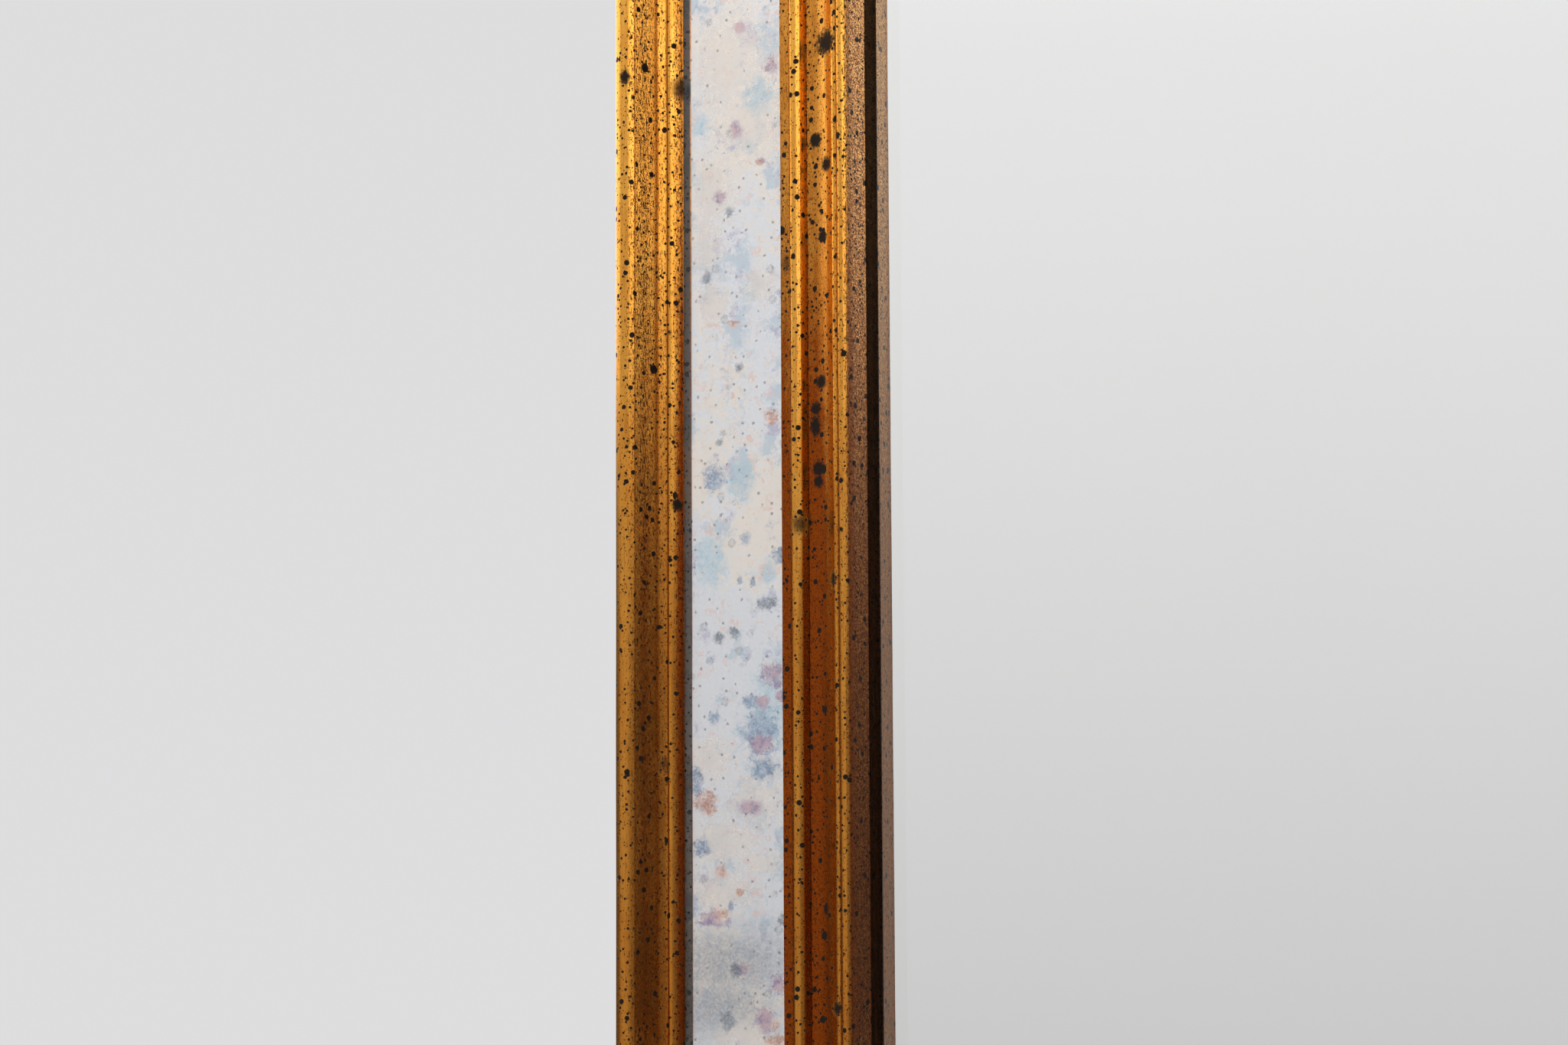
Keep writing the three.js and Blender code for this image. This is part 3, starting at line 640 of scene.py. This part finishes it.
# Rows as for the outer moulding. The toning is partly umber glaze and partly painted shade: it is deepest on
# the lip face and fillet by the antiqued glass, in the cove, at the top of the sight wall and under its foot,
# where shade falls.
inner_marks = marked(
    inner_outline,
    ((INNER_LIP, GLASS_LINE), 1.0, 0.3, 0.0, 0.0),
    ((INNER_LIP, FILLET_TOP), 0.85, 0.6, 0.0, 0.0),
    ((53.4, FILLET_TOP), 0.60, 0.6, 0.0, 0.0),
    (bead[4], 0.32, 0.55, 0.0, 0.0),
    (bead[9], 0.10, 0.45, 0.0, 0.0),
    (bead[12], 0.02, 0.38, 0.0, 0.0),
    (bead[18], 0.0, 0.45, 0.0, 0.0),
    (bead[22], 0.0, 0.55, 0.0, 0.0),
    (QUIRK_TOP, 0.10, 0.6, 0.0, 0.0),
    (QUIRK, 0.70, 1.0, 0.0, 0.0),
    (sight_cove[1], 0.75, 0.60, 0.0, 0.0),
    (sight_cove[6], 0.78, 0.45, 0.0, 0.0),
    (sight_cove[12], 0.62, 0.35, 0.0, 0.0),
    (sight_cove[18], 0.12, 0.30, 0.0, 0.0),
    (sight_cove[21], 0.22, 0.50, 0.0, 0.0),
    ((69.6, 8.3), 0.06, 0.50, 0.0, 0.0),
    (SIGHT_FILLET, 0.06, 0.60, 0.0, 0.0),
    (SIGHT_QUIRK, 0.30, 0.80, 0.0, 0.0),
    (sight_roll[2], 0.06, 0.55, 0.0, 0.0),
    (sight_roll[14], 0.02, 0.50, 0.0, 0.0),
    (sight_roll[18], 0.12, 0.85, 0.1, 0.0),
    (sight_roll[22], 0.60, 1.0, 0.5, 0.0),
    ((75.0, 7.8), 0.95, 1.0, 0.7, 0.0),
    ((75.15, 6.7), 0.85, 0.8, 0.9, 0.0),
    ((75.3, 5.6), 0.45, 0.4, 1.0, 0.0),
    ((75.9, 1.0), 0.40, 0.3, 1.0, 0.0),
    ((BORDER, SIGHT_FOOT), 0.60, 0.3, 0.8, 0.0),
    ((75.0, SIGHT_FOOT), 1.0, 0.0, 0.0, 0.0),
)

INNER_STAINS = (
    (67.3, 622.0, 7.6, 0.8, 0.6),
    (62.2, 650.5, 3.9, 0.94, 0.5),
    (72.4, 651.0, 2.1, 1.0, 0.12),
    (66.6, 658.2, 3.6, 0.98, 0.6),
    (62.2, 658.2, 1.7, 1.0, 0.12),
    (56.6, 662.4, 1.5, 1.0, 0.12),
    (64.4, 671.8, 1.4, 1.0, 0.12),
    (64.6, 679.3, 3.2, 0.98, 0.4),
    (55.9, 684.6, 1.7, 1.0, 0.12),
    (74.0, 715.0, 1.9, 1.0, 0.15),
    (63.8, 721.8, 3.4, 0.9, 0.7),
    (61.8, 729.4, 3.1, 0.98, 0.5),
    (61.6, 734.6, 3.0, 1.56, 0.7),
    (62.6, 747.0, 3.4, 1.15, 0.5),
    (62.6, 750.8, 2.9, 1.07, 0.6),
    (69.0, 779.7, 3.2, 1.39, 0.7),
    (64.4, 816.8, 2.3, 1.0, 0.12),
    (64.4, 873.6, 1.6, 2.0, 0.2),
    (71.5, 873.9, 1.9, 1.0, 0.15),
    (63.8, 881.2, 2.1, 1.2, 0.2),
    (69.2, 901.8, 4.2, 0.82, 0.8),
    (55.6, 898.8, 1.9, 0.75, 0.15),
)
inner_gold = aged_gold("aged_gold_inner", inner_outline, INNER_STAINS)
for side in SIDES:
    piece = moulding_run(f"inner_gilt_{side}", side, inner_outline, inner_marks)
    piece.data.materials.append(inner_gold)
    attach(piece, "mirror")
    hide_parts(f"inner_moulding_{side}")


# ---------------------------------------------------------------- antiqued glass strip
# Four strips of 3 mm clear glass, silvered on the back. The silvering has been broken down with acid,
# so it is clouded, spotted and foxed with blue, cream and copper tints behind the clear face.

STRIP_FROM, STRIP_TO, STRIP_DEPTH = 13.7, 52.3, 3.0

clear_glass, recipe, shader = new_material(
    "clear_glass", Base_Color=(0.994, 0.998, 0.995), Transmission_Weight=1.0, IOR=1.52, Roughness=0.0
)
place = recipe.add("TexCoord", output=3)
handled = recipe.noise(place, 14.0, 4, 0.6)
finish_with(shader, recipe, Roughness=recipe.soft_step(handled, 0.52, 0.8, 0.0, 0.035))

foxed_silver, recipe, shader = new_material("foxed_silvering")
run = recipe.add("Attribute", output=1, attribute_name="run")
# A slow drift pulls the run about, so that clouds and stains have torn edges.
drift = recipe.add("TexNoise", {"Vector": run, "Scale": 0.30, "Detail": 4.0, "Roughness": 0.65}, output=1)
drift = recipe.add("VectorMath", {0: drift, 1: (0.5, 0.5, 0.5)}, operation="SUBTRACT")
drift = recipe.add("VectorMath", {0: drift, "Scale": 7.0}, operation="SCALE")
moved = recipe.add("VectorMath", {0: run, 1: drift}, operation="ADD")
torn = recipe.add("VectorMath", {0: drift, 1: (0.3, 0.3, 0.3), 2: run}, operation="MULTIPLY_ADD")
broad = recipe.noise(run, 0.022, 2, 0.5)
fluff = recipe.noise(moved, 0.34, 5, 0.72)
wisp = recipe.noise(recipe.stretched(moved, (1, 0.8, 1)), 0.085, 5, 0.65)
tint = recipe.noise(recipe.stretched(moved, (1, 1, 3)), 0.10, 4, 0.65)
hue = recipe.soft_step(recipe.noise(moved, 0.42, 3, 0.65), 0.42, 0.60)
mottle = recipe.noise(run, 1.25, 4, 0.75)
uneven = recipe.soft_step(mottle, 0.32, 0.60, 0.40, 1.0)


def stain_masks(rows, softness=0.45, ragged=1.7):
    """Where the stains of a table lie. Its rows are (in from the edge, along, width, stretch)."""
    masks = None
    for inwards, along, width, stretch in rows:
        centre = (inwards - STRIP_FROM, along, SIDE_STEP)
        mask = recipe.effect(
            stain, Vector=torn, Edge=fluff, Centre=centre, Width=width, Stretch=stretch, Softness=softness,
            Ragged=ragged,
        )["Mask"]
        masks = recipe.maths("MAXIMUM", mask, masks) if masks else mask
    return masks


def stained(base, masks, colours, strength):
    """The silvering with two mingled colours laid where the masks are."""
    share = recipe.maths("MULTIPLY", recipe.maths("MULTIPLY", masks, uneven), strength)
    return recipe.blend(share, base, recipe.blend(hue, *colours))


# Clouds of cream, blue, mauve and pink over the mottled silver.
silver = recipe.blend(recipe.soft_step(mottle, 0.35, 0.7, 0, 0.6), (0.85, 0.855, 0.90), (0.935, 0.93, 0.945))
clouded = recipe.maths("MULTIPLY_ADD", recipe.maths("SUBTRACT", fluff, 0.5), 0.8, broad)
cream = recipe.soft_step(clouded, 0.47, 0.60)
silver = recipe.blend(recipe.maths("MULTIPLY", cream, 0.8), silver, (1.0, 0.90, 0.80))
blue = recipe.soft_step(wisp, 0.51, 0.63)
silver = recipe.blend(recipe.maths("MULTIPLY", blue, 0.7), silver, (0.55, 0.68, 0.79))
mauve = recipe.maths("MULTIPLY", recipe.soft_step(tint, 0.53, 0.64), recipe.soft_step(wisp, 0.45, 0.57))
silver = recipe.blend(recipe.maths("MULTIPLY", mauve, 0.75), silver, (0.56, 0.50, 0.68))
pink = recipe.maths("MULTIPLY", recipe.soft_step(tint, 0.47, 0.38), recipe.soft_step(fluff, 0.48, 0.60))
silver = recipe.blend(recipe.maths("MULTIPLY", pink, 0.75), silver, (0.92, 0.66, 0.60))

# The stains that stand out on the left stile: in from the edge, along, width, stretch.
CREAM = (
    (30.8, 622.7, 23.9, 1.2), (37.6, 640.6, 22.3, 1.0), (23.0, 661.5, 17.5, 1.2), (20.5, 676.4, 14.4, 1.1),
    (24.8, 695.1, 12.0, 0.9), (41.0, 690.6, 10.4, 0.9), (27.3, 853.6, 20.7, 0.6), (27.3, 868.5, 19.1, 0.5),
    (39.3, 843.1, 16.0, 0.8), (23.0, 830.4, 12.8, 0.9), (34.2, 910.2, 16.0, 0.5), (41.0, 860.3, 12.8, 0.5),
)
GREY = ((30.8, 889.4, 41.5, 0.45), (26.5, 901.8, 31.9, 0.5))
PALE_BLUE = (
    (41.0, 633.9, 8.8, 1.0), (34.2, 748.8, 8.0, 1.3), (22.6, 768.9, 7.2, 1.0), (43.6, 775.6, 4.8, 1.2),
    (23.9, 773.4, 8.8, 1.2), (42.7, 818.5, 12.0, 1.3), (20.5, 640.6, 6.4, 0.8), (45.3, 808.4, 12.0, 1.0),
)
BLUE = (
    (25.2, 747.3, 6.4, 1.15), (35.9, 765.5, 3.2, 1.0), (41.0, 823.0, 10.4, 1.2), (42.3, 833.0, 8.8, 0.7),
    (20.5, 855.8, 6.4, 0.8), (18.8, 836.4, 4.8, 1.5), (33.8, 777.8, 2.2, 1.0), (24.8, 818.1, 3.2, 1.3),
    (47.9, 771.1, 4.8, 0.9), (38.0, 778.6, 2.4, 1.0), (37.6, 813.6, 4.8, 0.8), (30.8, 872.9, 1.8, 1.3),
)
MAUVE = (
    (45.3, 626.1, 4.4, 1.3), (33.3, 643.6, 3.8, 1.2), (41.9, 653.7, 2.7, 0.9), (27.3, 663.0, 4.0, 0.9),
    (46.2, 808.8, 3.3, 1.0), (41.7, 813.8, 3.7, 1.0), (47.7, 812.5, 3.3, 1.0), (44.5, 805.4, 7.2, 0.8),
    (41.0, 826.0, 7.2, 0.7), (24.6, 876.3, 8.4, 0.55), (41.9, 905.8, 6.0, 1.1), (46.6, 895.3, 4.9, 0.9),
    (34.2, 890.8, 3.6, 0.9), (34.2, 612.6, 3.6, 0.8), (37.6, 844.6, 7.2, 0.6),
)
COPPER = (
    (27.6, 862.7, 3.8, 0.8), (33.5, 868.6, 2.2, 0.9), (32.0, 723.0, 1.6, 1.0), (44.9, 730.1, 4.1, 1.0),
    (27.3, 875.2, 4.8, 0.6), (45.3, 906.9, 2.4, 1.0), (22.2, 843.1, 7.2, 0.8), (45.3, 911.7, 6.4, 0.6),
    (32.0, 701.8, 3.2, 0.6), (41.0, 654.0, 2.0, 1.0),
)
DARK = (
    (30.8, 667.8, 2.6, 0.9), (42.9, 785.2, 6.4, 0.55), (26.6, 794.6, 3.2, 1.1), (31.6, 793.1, 3.6, 0.8),
    (32.5, 891.2, 4.1, 1.0), (29.5, 906.1, 4.9, 1.0), (23.0, 686.9, 2.9, 1.1), (27.3, 736.8, 2.7, 0.7),
    (34.2, 715.0, 2.6, 1.2), (47.9, 876.7, 2.7, 1.5),
)
silver = stained(silver, stain_masks(GREY, 0.9, 1.2), ((0.38, 0.40, 0.45), (0.48, 0.48, 0.52)), 0.85)
cream_stains = stain_masks(CREAM, 0.5, 2.2)
silver = stained(silver, cream_stains, ((1.0, 0.89, 0.79), (0.97, 0.85, 0.80)), 0.80)
silver = stained(silver, stain_masks(PALE_BLUE, 0.6), ((0.60, 0.74, 0.85), (0.45, 0.66, 0.76)), 0.85)
silver = stained(silver, stain_masks(BLUE), ((0.18, 0.30, 0.46), (0.44, 0.52, 0.68)), 0.92)
mauve_stains = stain_masks(MAUVE)
silver = stained(silver, mauve_stains, ((0.34, 0.22, 0.42), (0.70, 0.42, 0.46)), 0.88)
silver = stained(silver, stain_masks(COPPER, 0.4), ((0.58, 0.22, 0.12), (0.92, 0.64, 0.52)), 0.90)
silver = stained(silver, stain_masks(DARK, 0.5, 1.8), ((0.10, 0.13, 0.18), (0.26, 0.32, 0.38)), 0.88)

# Pits and ringed spots lie over the stains. The silver is dullest in the cream and mauve stains, and is
# sound close to the outer edge.
pits = recipe.effect(specks, Vector=run, Spacing=3.2, Size=0.42, Softness=0.5, Ragged=0.9)["Mask"]
spots = recipe.effect(specks, Vector=run, Spacing=11.0, Size=1.3, Softness=0.35, Ragged=1.8)["Mask"]
hearts = recipe.effect(specks, Vector=run, Spacing=11.0, Size=0.85, Softness=0.6, Ragged=1.8)["Mask"]
rings = recipe.maths("SUBTRACT", spots, recipe.maths("MULTIPLY", hearts, 0.65))
rings = recipe.maths("MULTIPLY", rings, recipe.soft_step(mottle, 0.40, 0.55, 0.35, 1.0))
silver = recipe.blend(recipe.maths("MULTIPLY", rings, 0.65), silver, (0.26, 0.29, 0.34))
silver = recipe.blend(recipe.maths("MULTIPLY", pits, 0.7), silver, (0.22, 0.20, 0.23))
hurt = recipe.maths("MAXIMUM", recipe.maths("MULTIPLY", cream, 0.5), recipe.maths("MULTIPLY", blue, 0.25))
hurt = recipe.maths("MAXIMUM", hurt, recipe.maths("MAXIMUM", cream_stains, mauve_stains))
inside = recipe.add("SeparateXYZ", (run,), output=0)
sound = recipe.soft_step(inside, 5.0, 9.0)
hurt = recipe.maths("MULTIPLY", hurt, sound)
finish_with(
    shader,
    recipe,
    Base_Color=silver,
    Metallic=recipe.maths("SUBTRACT", 1.0, recipe.maths("MULTIPLY", hurt, 0.40)),
    Roughness=recipe.maths("MULTIPLY_ADD", hurt, 0.06, 0.11),
)


def flat_run(name, side, low, high, wide_low, wide_high):
    """A flat mitred length between two heights, from one distance in from the edge to another."""
    outline = joined(
        line((wide_low, low), (wide_low, high), 1),
        line((wide_low, high), (wide_high, high), 12),
        line((wide_high, high), (wide_high, low), 1),
        line((wide_high, low), (wide_low, low), 12)[:-1],
    )
    return moulding_run(name, side, outline, [(0, 0, 0, 0, 0)], step=20, wander=0)


for side in SIDES:
    glass = flat_run(f"strip_glass_{side}", side, 0.0, STRIP_DEPTH, STRIP_FROM, STRIP_TO)
    glass.data.materials.append(clear_glass)
    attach(glass, "mirror")
    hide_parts(f"antiqued_strip_{side}")
    silvering = flat_run(f"strip_silvering_{side}", side, -0.10, -0.05, STRIP_FROM, STRIP_TO)
    silvering.data.materials.append(foxed_silver)
    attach(silvering, "mirror")


# ---------------------------------------------------------------- looking-glass plate
# One plate of 6 mm float glass, its front arris ground, silvered and painted on the back. It lies
# against the backs of the inner moulding and is packed round its edge with rubber.

PLATE_EDGE, PLATE_FRONT, PLATE_BACK, ARRIS = 71.0, -0.3, -6.3, 0.6


def plate_points(edge, height):
    x, low, high = WIDTH / 2 - edge, BOTTOM + edge, TOP - edge
    y = -(SEAT + height)
    return [(a * MM, y * MM, b * MM) for a, b in ((-x, low), (x, low), (x, high), (-x, high))]


def slab(name, *levels):
    """A flat rectangular solid from rings of four corners, given as (edge, height) from back to front."""
    points = [p for edge, height in levels for p in plate_points(edge, height)]
    faces = [(3, 2, 1, 0), tuple(range(len(points) - 4, len(points)))]
    for k in range(len(levels) - 1):
        a, b = 4 * k, 4 * k + 4
        faces += [(a + i, a + (i + 1) % 4, b + (i + 1) % 4, b + i) for i in range(4)]
    return mesh_piece(name, points, faces, sharp=20)


plate = slab(
    "plate_glass",
    (PLATE_EDGE, PLATE_BACK),
    (PLATE_EDGE, PLATE_FRONT - ARRIS),
    (PLATE_EDGE + ARRIS, PLATE_FRONT),
)
plate.data.materials.append(clear_glass)
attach(plate, "mirror")
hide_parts("mirror_plate")

bright_silver, recipe, shader = new_material("bright_silvering", Metallic=1.0)
place = recipe.add("TexCoord", output=3)
haze = recipe.noise(place, 5.0, 4, 0.6)
tarnish = recipe.soft_step(haze, 0.48, 0.85, 0, 0.25)
finish_with(
    shader,
    recipe,
    Base_Color=recipe.blend(tarnish, (0.975, 0.975, 0.97), (0.94, 0.935, 0.92)),
    Roughness=recipe.soft_step(haze, 0.5, 0.9, 0.005, 0.03),
)
silvering = slab("plate_silvering", (PLATE_EDGE + 1, PLATE_BACK - 0.10), (PLATE_EDGE + 1, PLATE_BACK - 0.05))
silvering.data.materials.append(bright_silver)
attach(silvering, "mirror")


# ---------------------------------------------------------------- rubber: glass blocks and wall bumpers
# Moulded black rubber. The blocks pack the plate inside the core, and the two bumpers are glued on the
# back near the bottom, so that the mirror hangs clear of the wall.

rubber, recipe, shader = new_material("black_rubber", Specular_IOR_Level=0.35)
place = recipe.add("TexCoord", output=3)
bloom = recipe.noise(place, 60.0, 4, 0.6)
pores = recipe.noise(place, 2400.0, 2, 0.5)
finish_with(
    shader,
    recipe,
    Base_Color=recipe.blend(recipe.soft_step(bloom, 0.45, 0.75), (0.018, 0.018, 0.019), (0.05, 0.049, 0.047)),
    Roughness=recipe.maths("MULTIPLY_ADD", bloom, 0.25, 0.55),
    Normal=bumped(recipe, pores, 0.25, 0.0001),
)
for name in nodes:
    if name.startswith(("glass_block", "wall_bumper")):
        dress(name, rubber)


# ---------------------------------------------------------------- backing board
# A sheet of 3 mm hardboard closes the back. It is pressed from brown wood fibre, smooth on the side
# that shows, and is screwed into the core's rebate.

hardboard, recipe, shader = new_material("hardboard")
place = recipe.add("TexCoord", output=3)
patches = recipe.noise(place, 7.0, 4, 0.6)
fibres = recipe.noise(place, 420.0, 4, 0.75, 0.6)
base = recipe.blend(recipe.soft_step(patches, 0.35, 0.7), (0.20, 0.105, 0.048), (0.27, 0.15, 0.072))
base = recipe.blend(recipe.soft_step(fibres, 0.52, 0.70, 0, 0.6), base, (0.42, 0.27, 0.15))
base = recipe.blend(recipe.soft_step(fibres, 0.30, 0.42, 0.6, 0), base, (0.09, 0.045, 0.02))
finish_with(
    shader,
    recipe,
    Base_Color=base,
    Roughness=recipe.maths("MULTIPLY_ADD", fibres, 0.25, 0.42),
    Normal=bumped(recipe, fibres, 0.3, 0.0002),
)
dress("backing_board", hardboard)


# ---------------------------------------------------------------- screws, straps and rings
# Cross-head screws, bent straps and wire rings are all zinc-plated steel. The straps carry the rings,
# which lie down against the wall or swing up over the hook that the mirror hangs from.

zinc, recipe, shader = new_material("zinc_steel", Metallic=1.0)
place = recipe.add("TexCoord", output=3)
plating = recipe.noise(place, 130.0, 4, 0.6)
scuffs = recipe.noise(recipe.stretched(place, (1, 1, 0.15)), 900.0, 3, 0.7)
base = recipe.blend(recipe.soft_step(plating, 0.4, 0.65), (0.58, 0.59, 0.60), (0.68, 0.67, 0.63))
base = recipe.blend(recipe.soft_step(plating, 0.62, 0.75, 0, 0.5), base, (0.52, 0.54, 0.60))
finish_with(
    shader,
    recipe,
    Base_Color=recipe.blend(recipe.soft_step(scuffs, 0.62, 0.72, 0, 0.5), base, (0.30, 0.30, 0.30)),
    Roughness=recipe.maths("MULTIPLY_ADD", plating, 0.22, 0.22),
    Normal=bumped(recipe, scuffs, 0.12, 0.00005),
)
for name in nodes:
    if name.startswith(("board_screw", "hanger_screw", "hanger_strap", "hanger_ring")):
        dress(name, zinc)


# ---------------------------------------------------------------- the room
# A pale floor under the mirror, a pale room that lights it softly and is what the glass reflects, and
# two soft lamps: a window high on the left in front, and a fainter one behind.

PALE = (0.735, 0.725, 0.735)

floor_material = new_material("pale_floor", Base_Color=PALE, Roughness=0.8)[0]
floor_height = (BOTTOM - 0.4) * MM
bpy.ops.mesh.primitive_circle_add(vertices=96, radius=5, fill_type="NGON", location=(0, 0, floor_height))
floor = bpy.context.object
floor.name = "floor"
floor.data.materials.append(floor_material)

world = bpy.data.worlds.new("pale_room")
world.use_nodes = True
bpy.context.scene.world = world
room = Recipe(world.node_tree)
background = world.node_tree.nodes["Background"]
# Reflections see pale walls that brighten upwards. To the right and far to the left the room is dim, with
# a bright band above. Turn is the angle from straight in front, in radians.
heading = room.add("TexCoord", output=0)
x, y, z = (room.add("SeparateXYZ", (heading,), output=i) for i in range(3))
turn = room.maths("ARCTAN2", x, room.maths("MULTIPLY", y, -1.0))
walls = room.soft_step(z, -0.34, 0.40, 0.46, 0.87)
walls = room.maths("ADD", walls, room.soft_step(z, 0.22, 0.50, 0.0, 0.8))
gloom = room.soft_step(room.maths("ABSOLUTE", turn), 0.45, 0.95, 0.34, 0.19)
dim_side = room.maths(
    "ADD", room.soft_step(z, 0.10, 0.18, gloom, 2.1), room.soft_step(z, 0.25, 0.5, 0.0, 0.4)
)
right = room.maths("MULTIPLY", room.soft_step(turn, 0.10, 0.58), room.soft_step(turn, 2.5, 2.9, 1.0, 0.0))
left = room.maths("MULTIPLY", room.soft_step(turn, -0.80, -1.35), room.soft_step(turn, -2.9, -2.5))
seen = room.add("Mix", {0: room.maths("MAXIMUM", left, right), 2: walls, 3: dim_side})
rays = room.add("LightPath")
path = rays.node
mirrored = room.maths("MAXIMUM", path.outputs["Is Glossy Ray"], path.outputs["Is Transmission Ray"])
lit = room.blend(mirrored, (0.78, 0.78, 0.78), seen)
room.set(background.inputs["Color"], room.blend(path.outputs["Is Camera Ray"], lit, PALE))
background.inputs["Strength"].default_value = 1.0


def lamp(name, place, aim, size, power, colour=(1, 1, 1)):
    light = bpy.data.lights.new(name, "AREA")
    light.shape = "RECTANGLE"
    light.size, light.size_y = size
    light.energy = power
    light.color = colour
    holder = bpy.data.objects.new(name, light)
    holder.location = place
    holder.rotation_mode = "QUATERNION"
    holder.rotation_quaternion = (Vector(aim) - Vector(place)).to_track_quat("-Z", "Y")
    bpy.context.scene.collection.objects.link(holder)


MIDDLE = (0, -0.02, (TOP + BOTTOM) / 2 * MM)
lamp("window", (-1.5, -2.2, 1.5), MIDDLE, (2.4, 1.4), 34, (1.0, 0.985, 0.96))
lamp("back", (0.8, 2.4, 1.2), MIDDLE, (2.0, 1.6), 25)

# The camera stands a little over a metre from the left stile, below its middle and well to the right of
# it, and looks slightly upwards with a long lens.
AZIMUTH, ELEVATION, ROLL = 30.0, -6.0, -0.28
LENS, DISTANCE = 85.0, 1.076
AIM = Vector((-WIDTH / 2 + 50.6, -(SEAT + 4.0), (TOP + BOTTOM) / 2)) * MM
a, e = math.radians(AZIMUTH), math.radians(ELEVATION)
back = Vector((math.sin(a) * math.cos(e), -math.cos(a) * math.cos(e), math.sin(e)))
camera_data = bpy.data.cameras.new("camera")
camera_data.lens, camera_data.sensor_width = LENS, 36.0
camera = bpy.data.objects.new("camera", camera_data)
bpy.context.scene.collection.objects.link(camera)
camera.location = AIM + back * DISTANCE
facing = (-back).to_track_quat("-Z", "Y").to_matrix() @ Matrix.Rotation(math.radians(ROLL), 3, "Z")
camera.rotation_mode = "QUATERNION"
camera.rotation_quaternion = facing.to_quaternion()
camera_data.clip_start, camera_data.clip_end = 0.05, 50.0
bpy.context.scene.camera = camera
bpy.context.scene.view_settings.view_transform = "Standard"
